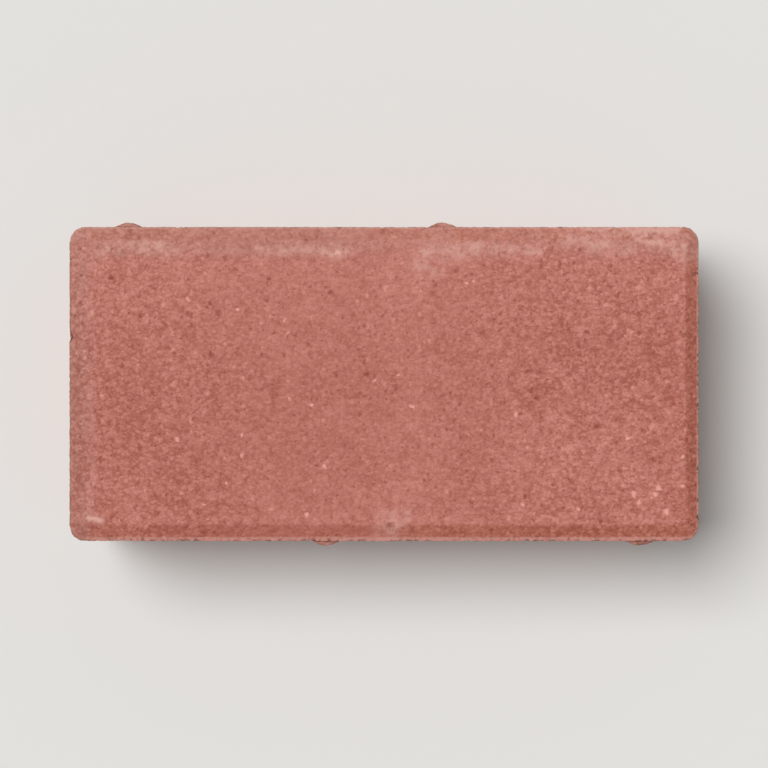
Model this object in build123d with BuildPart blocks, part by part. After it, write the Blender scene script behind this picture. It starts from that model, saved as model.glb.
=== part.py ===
"""Concrete paving stone with a bevelled top, pressed in a steel mould as one solid.

Millimetres. The origin is the middle of the underside, +X runs along the stone's length,
+Y across it, and +Z up to the walking face.
"""

from build123d import *

import os

# Overall size of the block, without its spacer nibs
length = 200.0
width = 100.0
thickness = 60.0

# Upright corners, rounded by the mould
corner_radius = 5.0

# Narrow rim round the top, left by the gap between the mould and the stamp
rim_width = 1.0
rim_drop = 0.2

# Bevel inside the rim, pressed by the stamp
bevel_width = 4.0
bevel_drop = 1.8
face_corner_radius = 2.0
arris_radius = 3.0

# Spacer nibs on the two long sides, bowed in plan, with tops that slope outwards
nib_projection = 1.5
nib_chord = 9.0
nib_shoulder_radius = 2.0
nib_root_depth = 2.0
nib_set_down = 1.0
nib_top_slope = 30.0

# Places of the nibs, from one end of each side, so that laid stones never meet nib to nib
nib_inset = 18.5
nib_pitch = 100.0

# Levels and outlines that follow from the sizes above
rim_level = thickness - bevel_drop
wall_top = rim_level - rim_drop
nib_top = wall_top - nib_set_down
nib_root_width = 2 * nib_chord
first_nib = nib_inset - length / 2
nibs_per_side = int((length - 2 * nib_inset) // nib_pitch) + 1
stamp_length = length - 2 * rim_width
stamp_width = width - 2 * rim_width
stamp_corner_radius = corner_radius - rim_width
face_length = stamp_length - 2 * bevel_width
face_width = stamp_width - 2 * bevel_width


# One nib, standing on z = 0, with its root buried behind the stone's side at y = 0
with BuildPart() as nib:
    with BuildSketch() as nib_plan:
        with BuildLine():
            ThreePointArc((-nib_chord / 2, 0), (0, nib_projection), (nib_chord / 2, 0))
            Polyline(
                (nib_chord / 2, 0),
                (nib_root_width / 2, 0),
                (nib_root_width / 2, -nib_root_depth),
                (-nib_root_width / 2, -nib_root_depth),
                (-nib_root_width / 2, 0),
                (-nib_chord / 2, 0),
            )
        make_face()
        shoulders = nib_plan.vertices().group_by(Axis.Y)[-1].sort_by(Axis.X)[1:-1]
        fillet(shoulders, radius=nib_shoulder_radius)
    extrude(amount=nib_top)
    # The top falls away from the side at nib_top_slope
    top_plane = Plane(origin=(0, 0, nib_top), x_dir=(1, 0, 0), z_dir=(0, 0, 1))
    split(bisect_by=top_plane.rotated((-nib_top_slope, 0, 0)), keep=Keep.BOTTOM)


with BuildPart() as paving_stone:
    # Block up to the top of its upright sides
    with BuildSketch():
        RectangleRounded(length, width, corner_radius)
    extrude(amount=wall_top)

    # Rim, nearly flat
    with BuildSketch(Plane.XY.offset(wall_top)):
        RectangleRounded(length, width, corner_radius)
    with BuildSketch(Plane.XY.offset(rim_level)):
        RectangleRounded(stamp_length, stamp_width, stamp_corner_radius)
    loft(ruled=True)

    # Bevel, up to the walking face
    with BuildSketch(Plane.XY.offset(rim_level)):
        RectangleRounded(stamp_length, stamp_width, stamp_corner_radius)
    with BuildSketch(Plane.XY.offset(thickness)):
        RectangleRounded(face_length, face_width, face_corner_radius)
    loft(ruled=True)

    # Soft arris between the bevel and the walking face
    walking_face = paving_stone.faces().sort_by(Axis.Z)[-1]
    fillet(walking_face.outer_wire().edges(), radius=arris_radius)

    # Nibs, counted from one end on one side and from the other end on the other
    with PolarLocations(radius=0, count=2):
        with Locations([(first_nib + n * nib_pitch, width / 2) for n in range(nibs_per_side)]):
            add(nib.part)

paving_stone.part.label = "paving_stone"

os.makedirs("parts", exist_ok=True)
export_step(paving_stone.part, "parts/paving_stone.step")
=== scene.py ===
"""Concrete paving stone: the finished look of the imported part, laid out as a Blender add-on.

Meshes and the lengths of properties are in metres. Patterns, marks and all that the nodes work out
are in millimetres, from the middle of the underside: x along the stone, y across it, and height.
"""

import math
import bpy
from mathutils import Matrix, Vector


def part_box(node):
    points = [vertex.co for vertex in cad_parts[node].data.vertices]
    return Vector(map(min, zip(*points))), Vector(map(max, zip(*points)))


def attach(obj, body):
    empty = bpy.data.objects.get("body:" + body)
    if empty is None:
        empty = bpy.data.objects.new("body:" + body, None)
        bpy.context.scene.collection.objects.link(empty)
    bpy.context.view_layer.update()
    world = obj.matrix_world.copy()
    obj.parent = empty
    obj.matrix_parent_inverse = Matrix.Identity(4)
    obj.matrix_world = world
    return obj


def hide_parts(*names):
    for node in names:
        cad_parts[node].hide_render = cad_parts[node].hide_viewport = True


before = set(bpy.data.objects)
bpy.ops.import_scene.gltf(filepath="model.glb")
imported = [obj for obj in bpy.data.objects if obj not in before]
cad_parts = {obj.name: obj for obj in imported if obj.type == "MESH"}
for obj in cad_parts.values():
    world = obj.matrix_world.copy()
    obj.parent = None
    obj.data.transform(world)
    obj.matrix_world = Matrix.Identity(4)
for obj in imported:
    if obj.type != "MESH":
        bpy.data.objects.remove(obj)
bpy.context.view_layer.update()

from types import SimpleNamespace
from typing import NamedTuple

import bmesh
import bpy
from mathutils import Vector

bl_info = {
    "name": "Concrete Paving Stone",
    "version": (1, 0, 0),
    "blender": (4, 5, 0),
    "location": "View3D > Sidebar > Paving",
    "description": "Models a pressed concrete paving stone and a plain studio to see it in",
    "category": "Add Mesh",
}

CAD_NODE = "paving_stone"
NODE_LOW, NODE_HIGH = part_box(CAD_NODE)
MM = 0.001

# Flat steps in round shapes
CORNER_SEGMENTS = 12
ARRIS_SEGMENTS = 4
NIB_SEGMENTS = 96

# How exactly a face or edge has to lie to be selected
CLOSE = 0.01 * MM
NEARLY_UP = 0.999

# Single pale grains and dark specks of the top: x, y and radius
LIGHT_GRAINS = (
    (-65.5, -17.5, 1.1),
    (-62.0, 27.0, 0.8),
    (-57.0, -38.0, 0.7),
    (-50.0, -31.5, 0.6),
    (-46.5, 23.5, 0.9),
    (-45.0, -16.0, 0.8),
    (-45.0, -22.5, 1.1),
    (-31.5, 20.0, 0.9),
    (-30.0, -4.5, 0.7),
    (-24.5, -41.5, 1.1),
    (-23.0, -6.5, 0.9),
    (-19.0, -26.0, 1.1),
    (-14.5, 41.5, 1.2),
    (-3.0, 1.0, 0.9),
    (4.5, 3.0, 0.7),
    (9.0, -7.0, 1.0),
    (26.0, 32.0, 0.7),
    (28.0, 32.5, 0.7),
    (41.5, -9.5, 0.8),
    (44.0, -38.0, 0.8),
    (61.5, -39.5, 1.1),
    (77.0, -17.0, 1.2),
    (79.0, -35.0, 1.4),
    (80.5, -37.5, 1.3),
    (86.0, -35.0, 1.2),
    (87.0, -33.0, 1.2),
    (89.5, -40.5, 1.5),
    (94.5, -32.5, 1.1),
    (94.5, -23.0, 0.9),
)
DARK_SPECKS = (
    (-86.5, 33.5, 1.2),
    (-66.5, 10.0, 0.9),
    (-56.0, 6.0, 0.9),
    (-55.0, 25.5, 1.0),
    (-54.5, 9.0, 1.3),
    (-36.5, 33.5, 0.9),
    (-17.0, 29.0, 1.1),
    (-5.5, 3.0, 1.1),
    (1.5, -44.5, 1.2),
    (44.5, -35.5, 1.0),
    (45.5, 4.0, 1.0),
    (46.5, -2.0, 1.2),
    (48.5, -4.5, 1.3),
    (62.0, 42.5, 1.1),
    (63.5, 13.5, 1.2),
    (64.0, 16.5, 0.9),
    (67.5, -13.0, 1.4),
    (68.5, -43.5, 1.4),
    (85.0, -24.0, 1.1),
)

# Pale dust on the face and bevel: the two ends, x and y, of each smear, its half width and strength
DUST_SMEARS = (
    (-90.0, 42.3, -82.0, 42.6, 1.9, 0.6),
    (-79.0, 44.2, -68.0, 42.8, 2.2, 0.8),
    (-60.0, 43.0, -45.0, 42.4, 1.6, 0.3),
    (-40.0, 42.2, -18.0, 42.2, 1.6, 0.6),
    (-18.0, 42.0, -12.5, 41.8, 1.9, 0.9),
    (14.0, 41.8, 29.0, 42.8, 2.5, 0.75),
    (33.0, 43.4, 40.5, 42.2, 2.1, 0.65),
    (44.5, 42.4, 49.5, 42.4, 1.2, 0.7),
    (60.0, 46.4, 70.0, 44.2, 3.0, 0.7),
    (67.0, 42.8, 78.0, 42.8, 2.0, 0.55),
    (56.0, 47.4, 80.0, 47.4, 2.2, 0.55),
    (80.0, 48.2, 87.0, 45.2, 2.6, 0.9),
    (84.0, 47.6, 96.0, 46.6, 2.4, 0.6),
    (86.0, 45.4, 97.0, 42.2, 2.8, 0.85),
    (10.5, 37.0, 15.5, 36.0, 2.6, 0.5),
    (0.0, -42.4, 7.0, -41.6, 2.0, 0.7),
    (0.5, -46.8, 4.0, -44.6, 2.8, 0.6),
    (-94.0, -41.0, -92.0, -42.2, 1.6, 0.45),
    (-92.9, -38.0, -92.9, 0.0, 1.3, 0.25),
    (-93.5, 4.0, -93.5, 40.0, 2.0, 0.14),
)

# Pale scrapes at the edges of the top: the two ends, x and y, of each, its half width and strength
SCRAPES = (
    (-92.6, -42.7, -89.5, -43.8, 1.0, 1.0),
    (64.0, 49.2, 78.0, 49.3, 0.8, 0.65),
    (79.0, 49.1, 93.0, 48.6, 1.1, 0.8),
)

# Wide, faint shades on the walking face: x, y, radius, and how much paler or darker
FACE_SHADES = (
    (60.0, -26.0, 42.0, 0.13),
    (8.0, 34.0, 17.0, 0.09),
    (8.0, 12.0, 17.0, 0.08),
    (8.0, -12.0, 17.0, 0.08),
    (8.0, -36.0, 17.0, 0.10),
    (40.0, 10.0, 22.0, 0.06),
    (-50.0, -25.0, 50.0, -0.04),
    (80.0, 8.0, 26.0, -0.05),
    (-80.0, -42.0, 15.0, 0.12),
    (64.0, -42.0, 24.0, -0.1),
)

# A small nick in the rim of the left end: x, y, and the radius where it has faded out
RIM_NICK = (-99.6, 15.2, 2.08)

# Where along the stone the grain is faintest
FAINTEST_GRAIN_X = -10.0


class Noise(NamedTuple):
    """A soft pattern with blots about size across. Each seed gives another one."""

    size: float
    seed: int
    detail: float = 2.0
    roughness: float = 0.5


class Ragged(NamedTuple):
    """A soft pattern that pushes outlines about by up to about amount."""

    size: float
    amount: float
    seed: int
    detail: float = 2.0
    roughness: float = 0.5


class Packing(NamedTuple):
    """Cells packed like grains, about spacing apart."""

    spacing: float
    seed: int


class Scatter(NamedTuple):
    """Dots of many sizes, up to radius, in a share of the cells that lie about spacing apart."""

    spacing: float
    radius: float
    share: float
    seed: int


# Patterns of the cast surface
WAVES = Noise(30, seed=1, detail=1.0)
DIMPLES = Noise(5, seed=2, detail=1.0)
SAND = Noise(1.8, seed=3)
DRAG_MARKS = Noise(1.7, seed=4)
VOIDS = Noise(3.4, seed=5, detail=3.0, roughness=0.6)
FINE_PITS = Scatter(4.5, radius=1.3, share=0.35, seed=6)
RIM_CRUMBS = Noise(1.4, seed=7)
FOOT_CRUMBS = Noise(2.0, seed=8)
PIN_HOLES = Scatter(1.7, radius=0.8, share=0.45, seed=9)
PACKED_SAND = Packing(1.1, seed=16)
OPEN_GRAIN = Packing(3.0, seed=21)
PRESSED_SMOOTH = Noise(18, seed=22)
BED_PITS = Scatter(8, radius=2.2, share=0.4, seed=23)
BED_UNEVENNESS = Noise(4, seed=24)
FINEST_GRAIN = Noise(0.5, seed=32)

# Patterns of the colour
CLOUDS = Noise(45, seed=11, detail=1.0)
SMALL_CLOUDS = Noise(9, seed=12)
MOTTLE = Noise(2.6, seed=13)
FINE_MOTTLE = Noise(0.8, seed=14)
BROKEN_DUST = Noise(2.4, seed=15, detail=4.0, roughness=0.65)
# The pale band along the arris is partly wear and partly a painted highlight
WORN_ARRIS_AND_HIGHLIGHT = Noise(6, seed=17)
FILM_EDGE = Noise(9, seed=18)
WORN_RIM = Noise(1.2, seed=19)
# The pale band along the far bevel is partly dust and partly a painted highlight on the bevel that faces
# the lamp
FAR_DUST_AND_HIGHLIGHT = Noise(7, seed=20)
BEVEL_EDGE = Noise(4, seed=25)
FAINT_GRAINS = Scatter(2.6, radius=1.3, share=0.14, seed=26)
DARK_GRAINS = Scatter(3.1, radius=1.3, share=0.16, seed=27)
BRIGHT_GRAINS = Scatter(2.8, radius=1.2, share=0.22, seed=28)
GLOSS = Noise(2.0, seed=33)

# What makes the outlines of crumbs, smears and sand grains ragged
CRUMBLED = Ragged(1.6, amount=0.5, seed=41)
SMEARED = Ragged(5, amount=1.2, seed=42)
SAND_SHAPES = Ragged(1.6, amount=0.5, seed=43)

# Fades: where each starts and ends, and then its values there, if they aren't 0 and 1. An inset runs
# inwards from the upright sides. For bevel and arris the sides count as moved with the pressing head.
# "Below rim" runs down from the rim's outer edge.
TOP_BELOW_RIM = (0.7, 0.1)
BOTTOM_HEIGHT = (0.8, 0.2)
BOTTOM_INSET = (0.1, 0.9)
RIM_CRUMBS_INSET = (1.3, 0.1)
RIM_CRUMBS_BELOW_RIM = (1.6, 0.0)
FOOT_CRUMBS_INSET = (1.6, 0.1)
FOOT_CRUMBS_HEIGHT = (1.6, 0.1)
RIM_PAINT_INSET = (1.4, 0.8)
BEVEL_OUTER_INSET = (0.6, 1.4)
BEVEL_INNER_INSET = (5.4, 4.2)
ARRIS_OUTER_INSET = (4.6, 5.6)
ARRIS_INNER_INSET = (10.0, 6.0)
NIB_DUST_INSET = (0.0, -0.5)
NIB_DUST_BELOW_RIM = (2.8, 1.9)
FAR_HAZE_Y = (2.0, 44.0)
# Where the pale band of dust and painted highlight lies along the far bevel
FAR_DUST_AND_HIGHLIGHT_Y = (43.0, 47.0)
FAR_FILM_Y = (39.0, 43.0)
FAR_FILM_X = (20.0, -20.0, 0.3, 0.6)
FILM_FROM_LEFT_END = (8.5, 3.5)
# Painted shade in pin holes, stronger at the left end
PIN_HOLES_X = (-92.0, -96.0, 0.12, 0.35)
# The bevel tint deepens towards the near right as painted shade on the bevels that face away from the
# lamp
BROWNER_AND_SHADED_TO_NEAR_RIGHT = (0.0, 80.0, 0.75, 1.0)
GRAIN_FROM_FAINTEST = (15.0, 75.0, 0.8, 1.2)

# Fades of the patterns themselves
VOID_EDGE = (0.57, 0.70)
PRESSED_EDGE = (0.45, 0.62)
CRUMB_EDGE = (0.45, 0.8)
OPEN_GRAIN_GAP = (0.1, 0.8)
SAND_GAP = (0.35, 0.75)
BROKEN_DUST_EDGE = (0.36, 0.64, 0.15, 1.0)
WORN_RIM_EDGE = (0.3, 0.6, 0.2, 0.75)
GRAIN_WHERE_PRESSED = (0.0, 1.0, 1.0, 0.3)
RIM_UNDER_FILM = (0.0, 1.0, 1.0, 0.5)

# The most that the edges of the bevel's skin and of the film wander, from one extreme to the other
BEVEL_WANDER = 0.8
FILM_WANDER = 6.0

# How far the pale rim follows the pressing head instead of the mould
RIM_FOLLOWS_HEAD = 0.6

# What a place is multiplied by, to flatten it, to stretch grains and to draw marks out upright
FLATTEN = (1.0, 1.0, 0.0)
GRAIN_STRETCH = (0.92, 1.15, 1.0)
DRAG_STRETCH = (1.0, 1.0, 0.07)

# Noise and random numbers run from 0 to 1. Noise rarely strays further from the middle than this.
MIDDLE = 0.5
NOISE_REACH = 0.25

# How far each count of a seed moves its pattern, along x, y and z
SEED_STRIDE = (31.7, 17.3, 23.9)

# The smallest dot as a share of the largest, where a dot fades in, and the core of a single spot
SMALLEST_DOT = 0.4
DOT_EDGE = (1.0, 0.1)
SPOT_CORE = 0.25

# The colour sockets of a Mix node, which share their names with others
MIX_FIRST = 6
MIX_SECOND = 7
MIX_RESULT = 2


def length(name, description, millimetres):
    """A property for one size of the stone, given in millimetres and kept in metres."""
    return bpy.props.FloatProperty(
        name=name,
        description=description,
        default=millimetres * MM,
        min=0.0,
        precision=5,
        unit="LENGTH",
        subtype="DISTANCE",
    )


def share(name, description, value):
    """A property for a strength from 0 to 1."""
    return bpy.props.FloatProperty(
        name=name, description=description, default=value, min=0.0, max=1.0, subtype="FACTOR"
    )


def angle(name, description, degrees):
    """A property for an angle, given in degrees."""
    return bpy.props.FloatProperty(
        name=name, description=description, default=math.radians(degrees), subtype="ANGLE"
    )


def colour(name, description, red, green, blue):
    """A colour property, given as the 0 to 255 values seen on screen and kept as linear ones."""
    shown = [value / 255 for value in (red, green, blue)]
    linear = [v / 12.92 if v <= 0.04045 else ((v + 0.055) / 1.055) ** 2.4 for v in shown]
    return bpy.props.FloatVectorProperty(
        name=name, description=description, default=linear, min=0.0, max=1.0, subtype="COLOR"
    )


class StoneSizes(bpy.types.PropertyGroup):
    """Sizes of the pressed stone. Its length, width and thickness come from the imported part."""

    corner_radius: length("Corner radius", "Radius of the upright corners", 5.0)
    rim_width: length("Rim width", "Width of the nearly flat rim round the top", 1.0)
    rim_drop: length("Rim drop", "How much lower the rim is outside than inside", 0.2)
    bevel_width: length("Bevel width", "Width of the pressed bevel, without the rim", 4.0)
    bevel_drop: length("Bevel drop", "Height of the bevel, without the rim", 1.8)
    arris: length("Arris", "Half width of the soft edge between the bevel and the face", 0.7)
    head_right: length("Head right", "How far right of the middle the pressing head sat", 0.4)
    head_back: length("Head back", "How far behind the middle the pressing head sat", 0.5)
    nib_projection: length("Nib projection", "How far the spacer nibs stand out", 1.5)
    nib_chord: length("Nib chord", "Width of a nib where it meets the side", 9.0)
    nib_set_down: length("Nib set-down", "From the top of a side to the top of its nibs", 1.0)
    nib_inset: length("Nib inset", "From one end of a side to the middle of its first nib", 18.5)
    nib_pitch: length("Nib pitch", "From one nib to the next on the same side", 100.0)
    nib_slope: angle("Nib slope", "Outward slope of the tops of the nibs", 30)
    voxel: length("Voxel", "Fineness of the cast surface before it is thinned", 0.5)
    triangles: bpy.props.IntProperty(
        name="Triangles", description="Most triangles in the finished stone", default=190000
    )


class CastRelief(bpy.types.PropertyGroup):
    """Depths of the cast relief below the mould's surface, and heights of its finest grain."""

    waves: length("Waves", "Depth of the wide waves all over", 0.12)
    dimples: length("Dimples", "Depth of the soft dimples of the top", 0.1)
    sand: length("Sand", "Depth of the sandy grain of the top", 0.16)
    fine_pits: length("Fine pits", "Depth of the small pits of the top", 0.35)
    open_grain: length("Open grain", "Depth of the gaps between grains of the sides", 0.45)
    voids: length("Voids", "Depth of the voids of the sides", 0.9)
    open_drag: length("Open drag", "Depth of drag marks where the grain is open", 0.15)
    pressed_drag: length("Pressed drag", "Depth of drag marks on smeared patches", 0.4)
    pressed_flat: length("Pressed flat", "How much of the sides' relief is pressed flat", 0.2)
    bed_pits: length("Bed pits", "Depth of the round pits of the underside", 0.7)
    bed_unevenness: length("Bed unevenness", "Depth of the soft grain of the underside", 0.1)
    rim_crumbs: length("Rim crumbs", "Depth of what has crumbled off the rim", 0.5)
    foot_crumbs: length("Foot crumbs", "Depth of what has crumbled off the foot", 0.45)
    rim_nick: length("Rim nick", "Depth of the nick in the left end", 0.9)
    packed_sand: length("Packed sand", "Height of sand grains, finer than the mesh", 0.12)
    finest_grain: length("Finest grain", "Height of the grain finer than sand", 0.08)
    pin_holes: length("Pin holes", "Depth of pin holes, finer than the mesh", 0.14)


class ConcreteLook(bpy.types.PropertyGroup):
    """Colours of the red concrete, and how strongly each pattern shows."""

    dark: colour("Dark", "The darker, redder paste between the grains", 164, 92, 79)
    light: colour("Light", "The paler, greyer grains", 213, 143, 130)
    # This colour is dust, and along the far bevel also a painted highlight
    dust: colour("Dust", "Pale dust and bloom", 216, 164, 152)
    rim: colour("Rim", "The pale, crumbly rim", 198, 144, 132)
    # This colour is both the dark specks and painted shade at the bottoms of pits
    speck_and_pit_shade: colour("Speck", "Dark specks and the bottoms of pits", 120, 38, 18)
    grain: colour("Grain", "Single pale grains", 246, 180, 166)
    # The bevel tint is partly the browner skin of the bevel and partly painted shade, deepest towards
    # the near right
    bevel_tint: colour("Bevel tint", "What the browner skin of the bevel multiplies", 244, 234, 223)
    film_tint: colour("Film tint", "What the greyish film multiplies", 239, 251, 252)
    side_tint: colour("Side tint", "What the dullness of the sides multiplies", 238, 246, 245)

    paleness: share("Paleness", "How pale the plain paste is, from dark to light", 0.42)
    clouds: share("Clouds", "Strength of the wide clouds", 0.14)
    small_clouds: share("Small clouds", "Strength of the small clouds", 0.23)
    mottle: share("Mottle", "Strength of the mottle", 0.54)
    fine_mottle: share("Fine mottle", "Strength of the fine mottle", 0.6)
    sand_mix: share("Sand mix", "How much the grains of sand differ", 0.4)
    # Painted shade in the gaps between sand grains
    sand_gap_shade: share("Sand gaps", "How dark the gaps between grains of sand are", 0.18)
    faint_grains: share("Faint grains", "How pale the faint grains are", 0.35)
    bright_grains: share("Bright grains", "How pale the bright grains are", 0.6)
    dark_grains: share("Dark grains", "How dark the dark grains are", 0.6)
    # Painted shade at pin holes
    pin_holes: share("Pin holes", "How dark the paste is at pin holes", 0.3)
    far_haze: share("Far haze", "How much paler the face gets towards its far side", 0.13)
    # The pale arris is partly wear and partly a painted highlight
    worn_arris_and_highlight: share("Worn arris", "How pale the worn arris is", 0.14)
    drag_marks: share("Drag marks", "Strength of the drag marks of the sides", 0.9)
    pressed_pale: share("Pressed pale", "How pale smeared patches are", 0.15)
    # The far bevel's pale band is partly dust and partly a painted highlight
    far_dust_and_highlight: share("Far dust", "How thick dust lies on the far bevel", 0.55)
    nib_dust: share("Nib dust", "How thick dust lies on the tops of the nibs", 0.5)
    # Painted shade in the voids and pits
    void_shade: share("Void dark", "How dark the voids of the sides are", 0.45)
    pit_shade: share("Pit dark", "How dark the pits are", 0.35)
    speck_dark: share("Speck dark", "How dark single specks are", 0.55)
    grain_pale: share("Grain pale", "How pale single grains are", 0.65)
    roughness: share("Roughness", "Roughness of the paste", 0.93)
    gloss_swing: share("Gloss swing", "How much the roughness varies", 0.2)
    bevel_gloss: share("Bevel gloss", "How much smoother the bevel is", 0.1)
    shine: share("Shine", "Specular level of the concrete", 0.25)


class StudioSettings(bpy.types.PropertyGroup):
    """Floor, light and camera."""

    floor: colour("Floor", "Colour of the floor", 226, 225, 222)
    floor_size: bpy.props.FloatProperty(
        name="Floor size", description="Side of the square floor", default=6.0, unit="LENGTH"
    )
    floor_roughness: share("Floor roughness", "Roughness of the floor", 0.9)
    floor_shine: share("Floor shine", "Specular level of the floor", 0.1)
    world: bpy.props.FloatProperty(
        name="World", description="Strength of the even light from all round", default=0.25
    )
    lamp: bpy.props.FloatProperty(
        name="Lamp", description="Strength of the soft lamp overhead", default=2.6
    )
    lamp_softness: angle("Lamp softness", "Angle that the lamp fills", 35)
    lamp_lean_left: angle("Lamp lean left", "Lean of the lamp towards the left end", 22)
    lamp_lean_back: angle("Lamp lean back", "Lean of the lamp towards the far side", 14)
    lens: bpy.props.FloatProperty(
        name="Lens",
        description="Focal length of the camera in millimetres",
        default=100.0,
        unit="CAMERA",
    )
    view_width: length("View width", "What the camera takes in across the walking face", 243.0)


def in_millimetres(group):
    """The lengths of a property group as plain millimetres, cleared of rounding errors."""
    names = type(group).__annotations__
    sizes = {name: round(getattr(group, name) / MM, ndigits=6) for name in names}
    return SimpleNamespace(**sizes)


def opaque(shade):
    """A colour with full alpha, as sockets take it."""
    return (*shade, 1)


class NodeKit:
    """Adds nodes to a shader or geometry tree, and links or sets what they are given."""

    def __init__(self, tree):
        self.tree = tree

    def put(self, socket, value):
        """Links a socket to the input, or sets the input to a plain value."""
        if isinstance(value, bpy.types.NodeSocket):
            self.tree.links.new(value, socket)
        else:
            socket.default_value = value

    def add(self, kind, inputs=(), **settings):
        """A new node with these settings, and with inputs given in order or by name."""
        node = self.tree.nodes.new(kind)
        for name, value in settings.items():
            setattr(node, name, value)
        pairs = inputs.items() if isinstance(inputs, dict) else enumerate(inputs)
        for key, value in pairs:
            self.put(node.inputs[key], value)
        return node

    def math(self, operation, *values):
        """The result of one operation on numbers."""
        return self.add("ShaderNodeMath", values, operation=operation).outputs[0]

    def sum(self, *terms):
        """All the terms added up."""
        total = terms[0]
        for term in terms[1:]:
            total = self.math("ADD", total, term)
        return total

    def product(self, *factors):
        """All the factors multiplied."""
        total = factors[0]
        for factor in factors[1:]:
            total = self.math("MULTIPLY", total, factor)
        return total

    def most(self, *values):
        """The largest of the values."""
        total = values[0]
        for value in values[1:]:
            total = self.math("MAXIMUM", total, value)
        return total

    def vector(self, operation, *values):
        """The result of one operation on vectors: a vector, or a number where it gives one."""
        node = self.add("ShaderNodeVectorMath", values, operation=operation)
        numbers = ("LENGTH", "DISTANCE", "DOT_PRODUCT")
        return node.outputs["Value" if operation in numbers else "Vector"]

    def scaled(self, vector, factor):
        """A vector made longer or shorter."""
        inputs = {"Vector": vector, "Scale": factor}
        return self.add("ShaderNodeVectorMath", inputs, operation="SCALE").outputs["Vector"]

    def step(self, value, start, end, low=0.0, high=1.0):
        """A smooth step of value, from low at start to high at end."""
        inputs = {"Value": value, "From Min": start, "From Max": end, "To Min": low, "To Max": high}
        return self.add("ShaderNodeMapRange", inputs, interpolation_type="SMOOTHSTEP").outputs[0]

    def moved(self, place, seed):
        """The place moved far off, so that each seed gives its own pattern."""
        return self.vector("ADD", place, tuple(seed * stride for stride in SEED_STRIDE))

    def noise_node(self, place, pattern):
        """The node of a soft pattern, which gives numbers and colours."""
        inputs = {"Vector": self.moved(place, pattern.seed), "Scale": 1 / pattern.size}
        inputs.update({"Detail": pattern.detail, "Roughness": pattern.roughness})
        return self.add("ShaderNodeTexNoise", inputs)

    def noise(self, place, pattern):
        """Soft noise from 0 to 1."""
        return self.noise_node(place, pattern).outputs[0]

    def swing(self, place, pattern, amount):
        """Soft noise that swings both ways round 0."""
        noise = self.noise(place, pattern)
        return self.product(self.math("SUBTRACT", noise, MIDDLE), amount)

    def ragged(self, place, pattern):
        """The place pushed about, for ragged outlines."""
        push = self.noise_node(place, pattern).outputs["Color"]
        push = self.vector("SUBTRACT", push, (MIDDLE, MIDDLE, MIDDLE))
        return self.vector("ADD", place, self.scaled(push, pattern.amount / NOISE_REACH))

    def cells(self, place, pattern):
        """Cells like packed grains: two random numbers for each, and the distance from its middle."""
        inputs = {"Vector": self.moved(place, pattern.seed), "Scale": 1 / pattern.spacing}
        node = self.add("ShaderNodeTexVoronoi", inputs)
        first, second, _ = self.add("ShaderNodeSeparateXYZ", [node.outputs["Color"]]).outputs
        return first, second, node.outputs["Distance"]

    def dots(self, place, pattern):
        """Dots of many sizes, 1 in the middle and 0 at the edge."""
        first, second, distance = self.cells(place, pattern)
        picked = self.math("LESS_THAN", first, pattern.share)
        size = self.sum(SMALLEST_DOT, self.product(second, 1 - SMALLEST_DOT))
        reach = self.product(size, pattern.radius / pattern.spacing)
        nearness = self.math("DIVIDE", distance, reach)
        return self.product(self.step(nearness, *DOT_EDGE), picked)

    def blend(self, factor, first, second):
        """The first colour turned into the second as far as the factor says."""
        node = self.add("ShaderNodeMix", {0: factor}, data_type="RGBA")
        self.put(node.inputs[MIX_FIRST], first)
        self.put(node.inputs[MIX_SECOND], second)
        return node.outputs[MIX_RESULT]

    def tinted(self, factor, first, tint):
        """The first colour, multiplied by the tint as far as the factor says."""
        result = self.blend(factor, first, opaque(tint))
        result.node.blend_type = "MULTIPLY"
        return result


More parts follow.
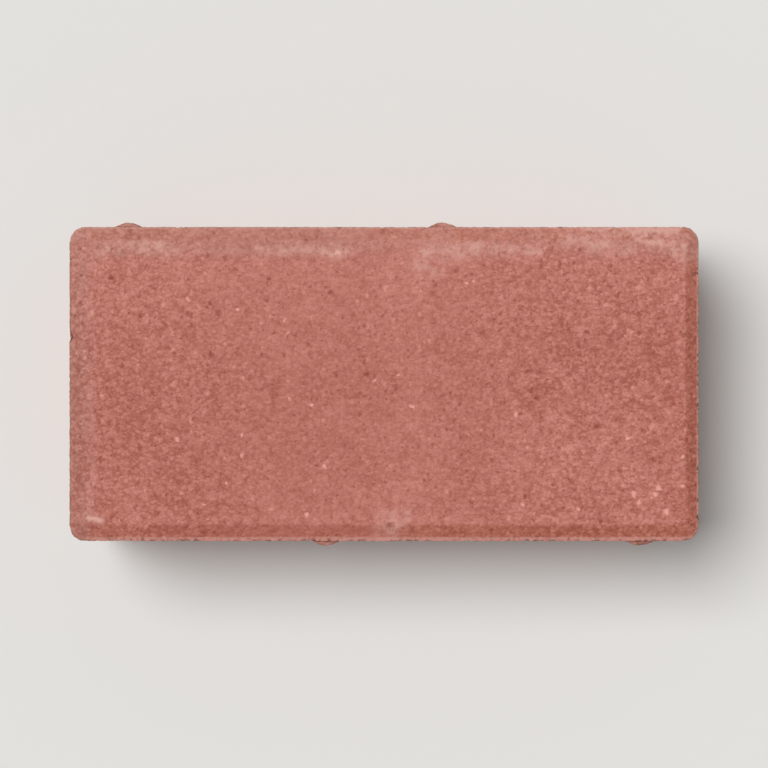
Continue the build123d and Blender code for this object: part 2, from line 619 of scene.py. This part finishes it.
class StonePlace:
    """Where a point lies on the stone, as sockets in millimetres: x, y, height and insets."""

    def __init__(self, kit, position, sizes):
        self.kit = kit
        self.place = kit.scaled(position, 1 / MM)
        self.x, self.y, self.height = kit.add("ShaderNodeSeparateXYZ", [self.place]).outputs
        self.flat = kit.add("ShaderNodeCombineXYZ", [self.x, self.y]).outputs[0]
        self.inset = self.inset_from_sides(sizes, self.flat)
        head = (sizes.head_right / MM, sizes.head_back / MM, 0.0)
        self.head_inset = self.inset_from_sides(sizes, kit.vector("SUBTRACT", self.flat, head))
        self.wall_top = (NODE_HIGH.z - sizes.bevel_drop - sizes.rim_drop) / MM
        self.on_top = self.below_rim(*TOP_BELOW_RIM)
        low = kit.step(self.height, *BOTTOM_HEIGHT)
        self.on_bottom = kit.product(low, kit.step(self.inset, *BOTTOM_INSET))
        self.on_side = kit.math("SUBTRACT", 1.0, kit.sum(self.on_top, self.on_bottom))
        self.grainy = kit.vector("MULTIPLY", self.place, GRAIN_STRETCH)
        self.crumbled = kit.ragged(self.place, CRUMBLED)
        self.smeared = kit.vector("MULTIPLY", kit.ragged(self.flat, SMEARED), FLATTEN)

    def inset_from_sides(self, sizes, flat):
        """How far in from the upright sides a place seen from above is, with rounded corners."""
        kit = self.kit
        radius = sizes.corner_radius / MM
        half_x = NODE_HIGH.x / MM - radius
        half_y = (NODE_HIGH.y - sizes.nib_projection) / MM - radius
        reach = kit.vector("SUBTRACT", kit.vector("ABSOLUTE", flat), (half_x, half_y, 0.0))
        past = kit.vector("LENGTH", kit.vector("MAXIMUM", reach, (0.0, 0.0, 0.0)))
        reach_x, reach_y, _ = kit.add("ShaderNodeSeparateXYZ", [reach]).outputs
        short = kit.math("MINIMUM", kit.math("MAXIMUM", reach_x, reach_y), 0.0)
        return kit.math("SUBTRACT", radius, kit.sum(past, short))

    def below_rim(self, start, end):
        """A fade between two depths below the outer edge of the rim."""
        return self.kit.step(self.height, self.wall_top - start, self.wall_top - end)

    def drawn_out(self):
        """The place squeezed upright, so that a pattern of it runs down the sides."""
        return self.kit.vector("MULTIPLY", self.place, DRAG_STRETCH)

    def spot(self, x, y, radius):
        """A round spot of the top with a slightly ragged outline, 1 in the middle."""
        gap = self.kit.vector("SUBTRACT", self.crumbled, (x, y, 0.0))
        gap = self.kit.vector("MULTIPLY", gap, FLATTEN)
        return self.kit.step(self.kit.vector("LENGTH", gap), radius, SPOT_CORE * radius)

    def spots(self, places):
        """Several round spots."""
        return self.kit.most(*(self.spot(*place) for place in places))

    def shade(self, x, y, radius, amount):
        """A wide, soft shade that fades out at its radius."""
        gap = self.kit.vector("DISTANCE", self.flat, (x, y, 0.0))
        return self.kit.step(gap, radius, 0.0, 0.0, amount)

    def smear(self, start_x, start_y, end_x, end_y, half_width, strength):
        """A soft, ragged smear between two points of the top, gone at twice its half width."""
        kit = self.kit
        run = Vector((end_x - start_x, end_y - start_y, 0.0))
        gap = kit.vector("SUBTRACT", self.smeared, (start_x, start_y, 0.0))
        along = kit.vector("DOT_PRODUCT", gap, tuple(run / run.length_squared))
        along = kit.math("MINIMUM", kit.math("MAXIMUM", along, 0.0), 1.0)
        off = kit.vector("DISTANCE", gap, kit.scaled(tuple(run), along))
        return kit.step(off, 2 * half_width, 0.0, 0.0, strength)

    def smears(self, places):
        """Several smears."""
        return self.kit.most(*(self.smear(*place) for place in places))

    def voids(self):
        """Ragged voids where the paste did not fill the open grain."""
        return self.kit.step(self.kit.noise(self.place, VOIDS), *VOID_EDGE)

    def pressed_smooth(self):
        """Where the mould smeared the open grain shut, from 0 to 1."""
        return self.kit.step(self.kit.noise(self.place, PRESSED_SMOOTH), *PRESSED_EDGE)

    def bed_pits(self):
        """Round pits that air left in the underside."""
        return self.kit.dots(self.place, BED_PITS)

    def packed_sand(self):
        """Sand grains: a random number for each, and the distance from its middle."""
        number, _, gap = self.kit.cells(self.kit.ragged(self.grainy, SAND_SHAPES), PACKED_SAND)
        return number, gap

    def fine_pits(self):
        """Small pits of the top."""
        return self.kit.dots(self.crumbled, FINE_PITS)

    def pin_holes(self):
        """Holes between the grains of sand."""
        return self.kit.dots(self.crumbled, PIN_HOLES)


def deselect_all():
    bpy.ops.object.select_all(action="DESELECT")


def use_alone(obj):
    """Makes obj the selected and active object."""
    deselect_all()
    obj.select_set(True)
    bpy.context.view_layer.objects.active = obj


def select_parts(obj, kind, test):
    """In edit mode, selects only the faces or edges that pass the test."""
    bm = bmesh.from_edit_mesh(obj.data)
    for group in (bm.faces, bm.edges, bm.verts):
        for part in group:
            part.select_set(False)
    for part in getattr(bm, kind):
        if test(part):
            part.select_set(True)
    bm.select_flush_mode()
    bmesh.update_edit_mesh(obj.data)


def is_level(face, height):
    """Whether a face looks straight up at this height."""
    return face.normal.z > NEARLY_UP and abs(face.calc_center_median().z - height) < CLOSE


def is_upright(edge):
    """Whether an edge runs straight up."""
    first, second = (vertex.co for vertex in edge.verts)
    return (first - second).xy.length < CLOSE


def is_face_edge(edge):
    """Whether an edge runs round the walking face."""
    return all(abs(vertex.co.z - NODE_HIGH.z) < CLOSE for vertex in edge.verts)


def edge_mode():
    """Lets edges be selected."""
    bpy.ops.mesh.select_mode(type="EDGE")


def face_mode():
    """Lets faces be selected."""
    bpy.ops.mesh.select_mode(type="FACE")


def block_out_body(sizes):
    """The block with its rounded corners, rim, bevel and soft arris."""
    long = NODE_HIGH.x - NODE_LOW.x
    wide = NODE_HIGH.y - NODE_LOW.y - 2 * sizes.nib_projection
    rim_level = NODE_HIGH.z - sizes.bevel_drop
    wall_top = rim_level - sizes.rim_drop
    deselect_all()
    bpy.ops.mesh.primitive_cube_add(
        size=1, location=(0, 0, wall_top / 2), scale=(long, wide, wall_top)
    )
    body = bpy.context.object
    bpy.ops.object.transform_apply(location=True, rotation=True, scale=True)
    bpy.ops.object.mode_set(mode="EDIT")
    edge_mode()
    select_parts(body, "edges", is_upright)
    bpy.ops.mesh.bevel(offset=sizes.corner_radius, segments=CORNER_SEGMENTS, affect="EDGES")
    face_mode()
    select_parts(body, "faces", lambda face: is_level(face, wall_top))
    bpy.ops.mesh.inset(thickness=sizes.rim_width, depth=sizes.rim_drop)
    bpy.ops.transform.translate(value=(sizes.head_right, sizes.head_back, 0))
    bpy.ops.mesh.inset(thickness=sizes.bevel_width / 2, depth=sizes.bevel_drop / 2)
    halfway = sizes.rim_width + sizes.bevel_width / 2
    inner = halfway + sizes.bevel_width / 2
    bpy.ops.mesh.extrude_region_move(
        TRANSFORM_OT_translate={"value": (0, 0, sizes.bevel_drop / 2)}
    )
    narrower = [(side - 2 * inner) / (side - 2 * halfway) for side in (long, wide)]
    head = (sizes.head_right, sizes.head_back, NODE_HIGH.z)
    bpy.ops.transform.resize(value=(*narrower, 1), center_override=head)
    edge_mode()
    select_parts(body, "edges", is_face_edge)
    bpy.ops.mesh.bevel(offset=sizes.arris, segments=ARRIS_SEGMENTS, affect="EDGES")
    bpy.ops.object.mode_set(mode="OBJECT")
    return body


def block_out_nib(sizes):
    """One spacer nib halfway along the far side: a bow of an upright bar, its top cut on the slope."""
    half_chord = sizes.nib_chord / 2
    radius = (half_chord**2 + sizes.nib_projection**2) / (2 * sizes.nib_projection)
    side = NODE_HIGH.y - sizes.nib_projection
    top = NODE_HIGH.z - sizes.bevel_drop - sizes.rim_drop - sizes.nib_set_down
    deselect_all()
    bpy.ops.mesh.primitive_cylinder_add(
        vertices=NIB_SEGMENTS,
        radius=radius,
        depth=NODE_HIGH.z,
        location=(0, NODE_HIGH.y - radius, NODE_HIGH.z / 2),
    )
    nib = bpy.context.object
    bpy.ops.object.transform_apply(location=True, rotation=True, scale=True)
    bpy.ops.object.mode_set(mode="EDIT")
    bpy.ops.mesh.select_all(action="SELECT")
    slope = sizes.nib_slope
    bpy.ops.mesh.bisect(
        plane_co=(0, side, top),
        plane_no=(0, math.sin(slope), math.cos(slope)),
        use_fill=True,
        clear_outer=True,
    )
    bpy.ops.mesh.select_all(action="SELECT")
    bpy.ops.mesh.bisect(
        plane_co=(0, side - half_chord, 0), plane_no=(0, -1, 0), use_fill=True, clear_outer=True
    )
    bpy.ops.object.mode_set(mode="OBJECT")
    return nib


def copy_nib(nib, x, turned):
    """A copy of the nib with its own mesh, moved along the side, or turned to the other side."""
    use_alone(nib)
    bpy.ops.object.duplicate(linked=False)
    copy = bpy.context.object
    copy.location.x = x
    if turned:
        copy.rotation_euler.z = math.pi
    bpy.ops.object.transform_apply(location=True, rotation=True, scale=True)
    return copy


def add_nibs(sizes):
    """All the nibs, counted from one end on one side and from the other end on the other."""
    nib = block_out_nib(sizes)
    long = NODE_HIGH.x - NODE_LOW.x
    count = int((long - 2 * sizes.nib_inset) // sizes.nib_pitch) + 1
    nibs = []
    for number in range(count):
        x = NODE_LOW.x + sizes.nib_inset + number * sizes.nib_pitch
        nibs.append(copy_nib(nib, x, turned=False))
        nibs.append(copy_nib(nib, -x, turned=True))
    bpy.data.objects.remove(nib)
    return nibs


def apply_modifier(obj, name, kind, **settings):
    """Adds a modifier, sets it and applies it."""
    use_alone(obj)
    modifier = obj.modifiers.new(name, kind)
    for key, value in settings.items():
        setattr(modifier, key, value)
    bpy.ops.object.modifier_apply(modifier=modifier.name)


def top_relief(kit, stone, depths):
    """Depth of the sandy walking face and bevel."""
    dimples = kit.product(kit.noise(stone.place, DIMPLES), depths.dimples)
    sand = kit.product(kit.noise(stone.place, SAND), depths.sand)
    pits = kit.product(stone.fine_pits(), depths.fine_pits)
    return kit.product(stone.on_top, kit.sum(dimples, sand, pits))


def side_relief(kit, stone, depths):
    """Depth of the open-grained sides: flat where the mould pressed, with gaps, voids and drag marks."""
    _, _, gap = kit.cells(stone.crumbled, OPEN_GRAIN)
    crumbs = kit.product(kit.step(gap, *OPEN_GRAIN_GAP), depths.open_grain)
    voids = kit.product(stone.voids(), depths.voids)
    smooth = stone.pressed_smooth()
    open_grain = kit.product(kit.sum(crumbs, voids), kit.step(smooth, *GRAIN_WHERE_PRESSED))
    drag_depth = kit.step(smooth, 0.0, 1.0, depths.open_drag, depths.pressed_drag)
    drag = kit.product(kit.noise(stone.drawn_out(), DRAG_MARKS), drag_depth)
    pressed = kit.math("MAXIMUM", kit.sum(open_grain, drag, -depths.pressed_flat), 0.0)
    return kit.product(stone.on_side, pressed)


def bottom_relief(kit, stone, depths):
    """Depth of the flat underside, with a few round pits."""
    pits = kit.product(stone.bed_pits(), depths.bed_pits)
    uneven = kit.product(kit.noise(stone.place, BED_UNEVENNESS), depths.bed_unevenness)
    return kit.product(stone.on_bottom, kit.sum(pits, uneven))


def edge_relief(kit, stone, depths):
    """Depth of the crumbs lost from the rim and the foot, and of the nick in the left end."""
    at_rim = kit.product(
        kit.step(stone.inset, *RIM_CRUMBS_INSET), stone.below_rim(*RIM_CRUMBS_BELOW_RIM)
    )
    at_foot = kit.product(
        kit.step(stone.inset, *FOOT_CRUMBS_INSET), kit.step(stone.height, *FOOT_CRUMBS_HEIGHT)
    )
    rim_crumbs = kit.step(kit.noise(stone.place, RIM_CRUMBS), *CRUMB_EDGE)
    foot_crumbs = kit.step(kit.noise(stone.place, FOOT_CRUMBS), *CRUMB_EDGE)
    nick_x, nick_y, nick_radius = RIM_NICK
    off_nick = kit.vector("DISTANCE", stone.place, (nick_x, nick_y, stone.wall_top))
    return kit.sum(
        kit.product(at_rim, rim_crumbs, depths.rim_crumbs),
        kit.product(at_foot, foot_crumbs, depths.foot_crumbs),
        kit.product(kit.step(off_nick, nick_radius, 0.0), depths.rim_nick),
    )


def relief_depth(kit, stone, depths):
    """How far the cast surface lies below the mould's."""
    waves = kit.product(kit.noise(stone.place, WAVES), depths.waves)
    reliefs = (top_relief, side_relief, bottom_relief, edge_relief)
    return kit.sum(waves, *(relief(kit, stone, depths) for relief in reliefs))


def relief_nodes(sizes, depths):
    """Geometry nodes that sink the surface by the depth of its relief."""
    tree = bpy.data.node_groups.new("Cast relief", "GeometryNodeTree")
    tree.interface.new_socket("Geometry", in_out="INPUT", socket_type="NodeSocketGeometry")
    tree.interface.new_socket("Geometry", in_out="OUTPUT", socket_type="NodeSocketGeometry")
    kit = NodeKit(tree)
    stone = StonePlace(kit, kit.add("GeometryNodeInputPosition").outputs[0], sizes)
    normal = kit.add("GeometryNodeInputNormal").outputs[0]
    offset = kit.scaled(normal, kit.product(relief_depth(kit, stone, depths), -MM))
    mesh = kit.add("NodeGroupInput").outputs[0]
    moved = kit.add("GeometryNodeSetPosition", {"Geometry": mesh, "Offset": offset})
    kit.add("NodeGroupOutput", [moved.outputs[0]])
    return tree


def cast_stone(body, nibs, sizes, depths):
    """Fuses the body and its nibs into one skin and gives it the relief of pressed concrete."""
    deselect_all()
    for piece in (body, *nibs):
        piece.select_set(True)
    bpy.context.view_layer.objects.active = body
    bpy.ops.object.join()
    apply_modifier(body, "One skin", "REMESH", mode="VOXEL", voxel_size=sizes.voxel)
    apply_modifier(body, "Relief", "NODES", node_group=relief_nodes(sizes, depths))
    triangles_now = 2 * len(body.data.polygons)
    apply_modifier(body, "Thinned", "DECIMATE", ratio=min(1.0, sizes.triangles / triangles_now))
    bpy.ops.object.shade_smooth()


def paste_tone(kit, stone, look):
    """How pale the paste is, from 0 to 1: clouds, mottle and packed sand, with painted shade in the gaps
    between grains and at pin holes.
    """
    number, gap = stone.packed_sand()
    grain = kit.sum(
        kit.swing(stone.place, MOTTLE, look.mottle),
        kit.swing(stone.grainy, FINE_MOTTLE, look.fine_mottle),
        kit.product(kit.math("SUBTRACT", number, MIDDLE), look.sand_mix),
        # Painted shade in the gaps between grains of sand
        kit.product(kit.step(gap, *SAND_GAP), -look.sand_gap_shade),
        kit.product(kit.dots(stone.crumbled, FAINT_GRAINS), look.faint_grains),
        kit.product(kit.dots(stone.crumbled, BRIGHT_GRAINS), look.bright_grains),
        kit.product(kit.dots(stone.crumbled, DARK_GRAINS), -look.dark_grains),
        # Painted shade at pin holes
        kit.product(stone.pin_holes(), -look.pin_holes),
    )
    from_faintest = kit.math("ABSOLUTE", kit.sum(stone.x, -FAINTEST_GRAIN_X))
    contrast = kit.step(from_faintest, *GRAIN_FROM_FAINTEST)
    clouds = kit.sum(
        kit.swing(stone.place, CLOUDS, look.clouds),
        kit.swing(stone.place, SMALL_CLOUDS, look.small_clouds),
    )
    top = kit.product(stone.on_top, top_shades(kit, stone, look))
    sides = side_shades(kit, stone, look)
    return kit.sum(look.paleness, kit.product(grain, contrast), clouds, top, sides)


def top_shades(kit, stone, look):
    """Wide shades of the walking face, its paler far side, and the pale band along the arris, which is
    partly wear and partly a painted highlight.
    """
    haze = kit.step(stone.y, *FAR_HAZE_Y, 0.0, look.far_haze)
    arris = kit.product(
        kit.step(stone.head_inset, *ARRIS_OUTER_INSET), kit.step(stone.head_inset, *ARRIS_INNER_INSET)
    )
    # Pale band along the arris: wear and a painted highlight
    worn = kit.product(arris, kit.noise(stone.place, WORN_ARRIS_AND_HIGHLIGHT), look.worn_arris_and_highlight)
    return kit.sum(haze, worn, *(stone.shade(*shade) for shade in FACE_SHADES))


def side_shades(kit, stone, look):
    """Upright drag marks, and the paler, smeared patches of the sides and the underside."""
    drag = kit.swing(stone.drawn_out(), DRAG_MARKS, look.drag_marks)
    off_top = kit.step(stone.on_top, 1.0, 0.0, 0.0, look.pressed_pale)
    return kit.sum(kit.product(stone.pressed_smooth(), off_top), kit.product(stone.on_side, drag))


def dust_and_highlight_cover(kit, stone, look):
    """Where pale dust lies on the walking face and the nibs, and the pale band of the far bevel, which
    is partly dust and partly a painted highlight, from 0 to 1.
    """
    broken = kit.step(kit.noise(stone.place, BROKEN_DUST), *BROKEN_DUST_EDGE)
    # Pale band along the far bevel: partly dust, partly a painted highlight on the bevel that faces the
    # lamp
    far_bevel = kit.product(
        kit.step(stone.y, *FAR_DUST_AND_HIGHLIGHT_Y), kit.noise(stone.place, FAR_DUST_AND_HIGHLIGHT), look.far_dust_and_highlight
    )
    dust = kit.product(kit.most(stone.smears(DUST_SMEARS), far_bevel), broken)
    on_face = kit.product(kit.most(dust, stone.smears(SCRAPES)), stone.on_top)
    nib_tops = kit.product(
        kit.step(stone.inset, *NIB_DUST_INSET), stone.below_rim(*NIB_DUST_BELOW_RIM)
    )
    return kit.most(on_face, kit.product(nib_tops, broken, look.nib_dust))


def bevel_cover(kit, stone):
    """Where the smooth skin of the bevel shows, from 0 to 1."""
    inset = kit.sum(stone.head_inset, kit.swing(stone.place, BEVEL_EDGE, BEVEL_WANDER))
    inner = kit.step(inset, *BEVEL_INNER_INSET)
    outer = kit.step(inset, *BEVEL_OUTER_INSET)
    return kit.product(inner, outer, stone.on_top)


def film_cover(kit, stone):
    """Where the greyish film lies on the left end, from 0 to 1."""
    wander = kit.swing(stone.place, FILM_EDGE, FILM_WANDER)
    from_end = kit.sum(stone.x, -NODE_LOW.x / MM, wander)
    return kit.product(kit.step(from_end, *FILM_FROM_LEFT_END), stone.on_top)


def far_film_cover(kit, stone):
    """The thinner film along the far side, from 0 to 1."""
    return kit.product(kit.step(stone.y, *FAR_FILM_Y), kit.step(stone.x, *FAR_FILM_X), stone.on_top)


def rim_cover(kit, stone, film):
    """Where the worn, pale rim shows, from 0 to 1. It is fainter under the film."""
    inset = kit.sum(
        kit.product(stone.inset, 1 - RIM_FOLLOWS_HEAD),
        kit.product(stone.head_inset, RIM_FOLLOWS_HEAD),
    )
    under_film = kit.step(film, *RIM_UNDER_FILM)
    at_rim = kit.product(kit.step(inset, *RIM_PAINT_INSET), stone.on_top, under_film)
    return kit.product(at_rim, kit.step(kit.noise(stone.place, WORN_RIM), *WORN_RIM_EDGE))


def hole_shade_and_speck_cover(kit, stone, look):
    """Painted shade in the voids, pits and pin holes, and the dark specks of the top, from 0 to 1."""
    return kit.most(
        kit.product(stone.voids(), stone.on_side, look.void_shade),
        kit.product(stone.bed_pits(), stone.on_bottom, look.pit_shade),
        kit.product(stone.fine_pits(), stone.on_top, look.pit_shade),
        kit.product(stone.pin_holes(), kit.step(stone.x, *PIN_HOLES_X)),
        kit.product(stone.spots(DARK_SPECKS), stone.on_top, look.speck_dark),
    )


def fine_relief(kit, stone, depths):
    """Height of the grain that is finer than the mesh."""
    _, gap = stone.packed_sand()
    return kit.sum(
        kit.product(gap, -depths.packed_sand),
        kit.swing(stone.place, FINEST_GRAIN, depths.finest_grain),
        kit.product(stone.pin_holes(), -depths.pin_holes),
    )


def concrete_colour(kit, stone, look, bevel):
    """The colour of the concrete: paste, tints with painted shade on the bevel, rim, dust with a painted
    highlight on the far bevel, painted shade in pits, and then single grains.
    """
    paste = kit.blend(paste_tone(kit, stone, look), opaque(look.dark), opaque(look.light))
    paste = kit.tinted(stone.on_side, paste, look.side_tint)
    film = film_cover(kit, stone)
    # Browner skin of the bevel with painted shade, deepening towards the near right, on the bevels that
    # face away from the lamp
    near_right = kit.math("SUBTRACT", stone.x, stone.y)
    browner_and_shaded = kit.step(near_right, *BROWNER_AND_SHADED_TO_NEAR_RIGHT)
    bare_bevel = kit.product(bevel, kit.math("SUBTRACT", 1.0, film), browner_and_shaded)
    paste = kit.tinted(bare_bevel, paste, look.bevel_tint)
    paste = kit.blend(rim_cover(kit, stone, film), paste, opaque(look.rim))
    paste = kit.tinted(kit.most(film, far_film_cover(kit, stone)), paste, look.film_tint)
    # Pale dust, and along the far bevel partly a painted highlight
    paste = kit.blend(dust_and_highlight_cover(kit, stone, look), paste, opaque(look.dust))
    # Painted shade in voids, pits and pin holes, and the dark specks
    paste = kit.blend(hole_shade_and_speck_cover(kit, stone, look), paste, opaque(look.speck_and_pit_shade))
    grains = kit.product(stone.spots(LIGHT_GRAINS), stone.on_top, look.grain_pale)
    return kit.blend(grains, paste, opaque(look.grain))


def concrete_material(sizes, depths, look):
    """Red pressed concrete: sandy paste, smooth bevel with painted shade, pale rim, dust with a painted
    highlight, pits with painted shade, and grains.
    """
    material = bpy.data.materials.new("Red concrete")
    material.use_nodes = True
    tree = material.node_tree
    tree.nodes.clear()
    kit = NodeKit(tree)
    stone = StonePlace(kit, kit.add("ShaderNodeTexCoord").outputs["Object"], sizes)
    bevel = bevel_cover(kit, stone)
    colours = concrete_colour(kit, stone, look, bevel)
    gloss = kit.swing(stone.place, GLOSS, look.gloss_swing)
    roughness = kit.sum(look.roughness, gloss, kit.product(bevel, -look.bevel_gloss))
    height = fine_relief(kit, stone, depths)
    bump = kit.add("ShaderNodeBump", {"Distance": MM, "Height": height})
    surface = kit.add("ShaderNodeBsdfPrincipled", {"Base Color": colours, "Roughness": roughness})
    kit.put(surface.inputs["Normal"], bump.outputs[0])
    surface.inputs["Specular IOR Level"].default_value = look.shine
    kit.add("ShaderNodeOutputMaterial", [surface.outputs[0]])
    return material


class MESH_OT_add_paving_stone(bpy.types.Operator):
    """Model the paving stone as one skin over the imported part, and give it its concrete"""

    bl_idname = "mesh.add_paving_stone"
    bl_label = "Paving stone"

    def execute(self, context):
        """Models the body and its nibs, casts them as one, and ties the stone to its node."""
        sizes = context.scene.stone_sizes
        depths = in_millimetres(context.scene.cast_relief)
        stone = block_out_body(sizes)
        cast_stone(stone, add_nibs(sizes), sizes, depths)
        stone.name = "paving_stone_cast"
        stone.data.name = stone.name
        stone.data.materials.clear()
        stone.data.materials.append(concrete_material(sizes, depths, context.scene.concrete_look))
        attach(stone, "root")
        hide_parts(CAD_NODE)
        return {"FINISHED"}


def add_floor(settings):
    """A pale floor under the stone."""
    deselect_all()
    bpy.ops.mesh.primitive_plane_add(size=settings.floor_size)
    floor = bpy.context.object
    floor.name = "floor"
    material = bpy.data.materials.new("Pale floor")
    material.use_nodes = True
    surface = material.node_tree.nodes["Principled BSDF"]
    surface.inputs["Base Color"].default_value = opaque(settings.floor)
    surface.inputs["Roughness"].default_value = settings.floor_roughness
    surface.inputs["Specular IOR Level"].default_value = settings.floor_shine
    floor.data.materials.append(material)


def add_light(settings):
    """Even light, seen as a backdrop in the floor's colour, and a soft lamp leaning left and back."""
    world = bpy.data.worlds.new("Studio")
    world.use_nodes = True
    world.node_tree.nodes.clear()
    kit = NodeKit(world.node_tree)
    even = {"Color": (1, 1, 1, 1), "Strength": settings.world}
    backdrop = {"Color": opaque(settings.floor), "Strength": 1.0}
    lights = [kit.add("ShaderNodeBackground", inputs).outputs[0] for inputs in (even, backdrop)]
    path = kit.add("ShaderNodeLightPath").outputs
    seen = kit.most(*(path[f"Is {kind} Ray"] for kind in ("Camera", "Glossy", "Transmission")))
    kit.add("ShaderNodeOutputWorld", [kit.add("ShaderNodeMixShader", [seen, *lights]).outputs[0]])
    bpy.context.scene.world = world
    data = bpy.data.lights.new("Soft lamp", "SUN")
    data.energy = settings.lamp
    data.angle = settings.lamp_softness
    lamp = bpy.data.objects.new("Soft lamp", data)
    left = math.tan(settings.lamp_lean_left)
    back = math.tan(settings.lamp_lean_back)
    lamp.rotation_euler = Vector((-left, back, 1)).to_track_quat("Z", "Y").to_euler()
    bpy.context.scene.collection.objects.link(lamp)


def add_camera(settings):
    """A camera straight above the walking face."""
    data = bpy.data.cameras.new("Camera")
    data.lens = settings.lens
    camera = bpy.data.objects.new("Camera", data)
    reach = settings.view_width * settings.lens / data.sensor_width
    camera.location = (0, 0, NODE_HIGH.z + reach)
    bpy.context.scene.collection.objects.link(camera)
    bpy.context.scene.camera = camera


class SCENE_OT_add_paving_studio(bpy.types.Operator):
    """Set up the pale floor, the soft light and the camera above the stone"""

    bl_idname = "scene.add_paving_studio"
    bl_label = "Studio"

    def execute(self, context):
        """Adds the floor, the light and the camera, and shows colours as they are."""
        settings = context.scene.studio_settings
        add_floor(settings)
        add_light(settings)
        add_camera(settings)
        context.scene.view_settings.view_transform = "Standard"
        return {"FINISHED"}


class VIEW3D_PT_paving(bpy.types.Panel):
    """Buttons for the stone and its studio, and their sizes and colours"""

    bl_label = "Paving stone"
    bl_idname = "VIEW3D_PT_paving"
    bl_space_type = "VIEW_3D"
    bl_region_type = "UI"
    bl_category = "Paving"

    def draw(self, context):
        """Lists the operators, and then a box for each group of settings."""
        layout = self.layout
        for operator in OPERATORS:
            layout.operator(operator.bl_idname)
        for group, kind in SETTINGS:
            box = layout.box()
            for name in kind.__annotations__:
                box.prop(getattr(context.scene, group), name)


OPERATORS = (MESH_OT_add_paving_stone, SCENE_OT_add_paving_studio)
SETTINGS = (
    ("stone_sizes", StoneSizes),
    ("cast_relief", CastRelief),
    ("concrete_look", ConcreteLook),
    ("studio_settings", StudioSettings),
)
CLASSES = (*(kind for _, kind in SETTINGS), *OPERATORS, VIEW3D_PT_paving)


def register():
    """Adds the classes, and the groups of settings to every scene."""
    for kind in CLASSES:
        bpy.utils.register_class(kind)
    for name, kind in SETTINGS:
        setattr(bpy.types.Scene, name, bpy.props.PointerProperty(type=kind))


def unregister():
    """Takes away what register added."""
    for name, _ in SETTINGS:
        delattr(bpy.types.Scene, name)
    for kind in reversed(CLASSES):
        bpy.utils.unregister_class(kind)


def main():
    """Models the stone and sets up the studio."""
    register()
    bpy.ops.mesh.add_paving_stone()
    bpy.ops.scene.add_paving_studio()


if __name__ == "__main__":
    main()
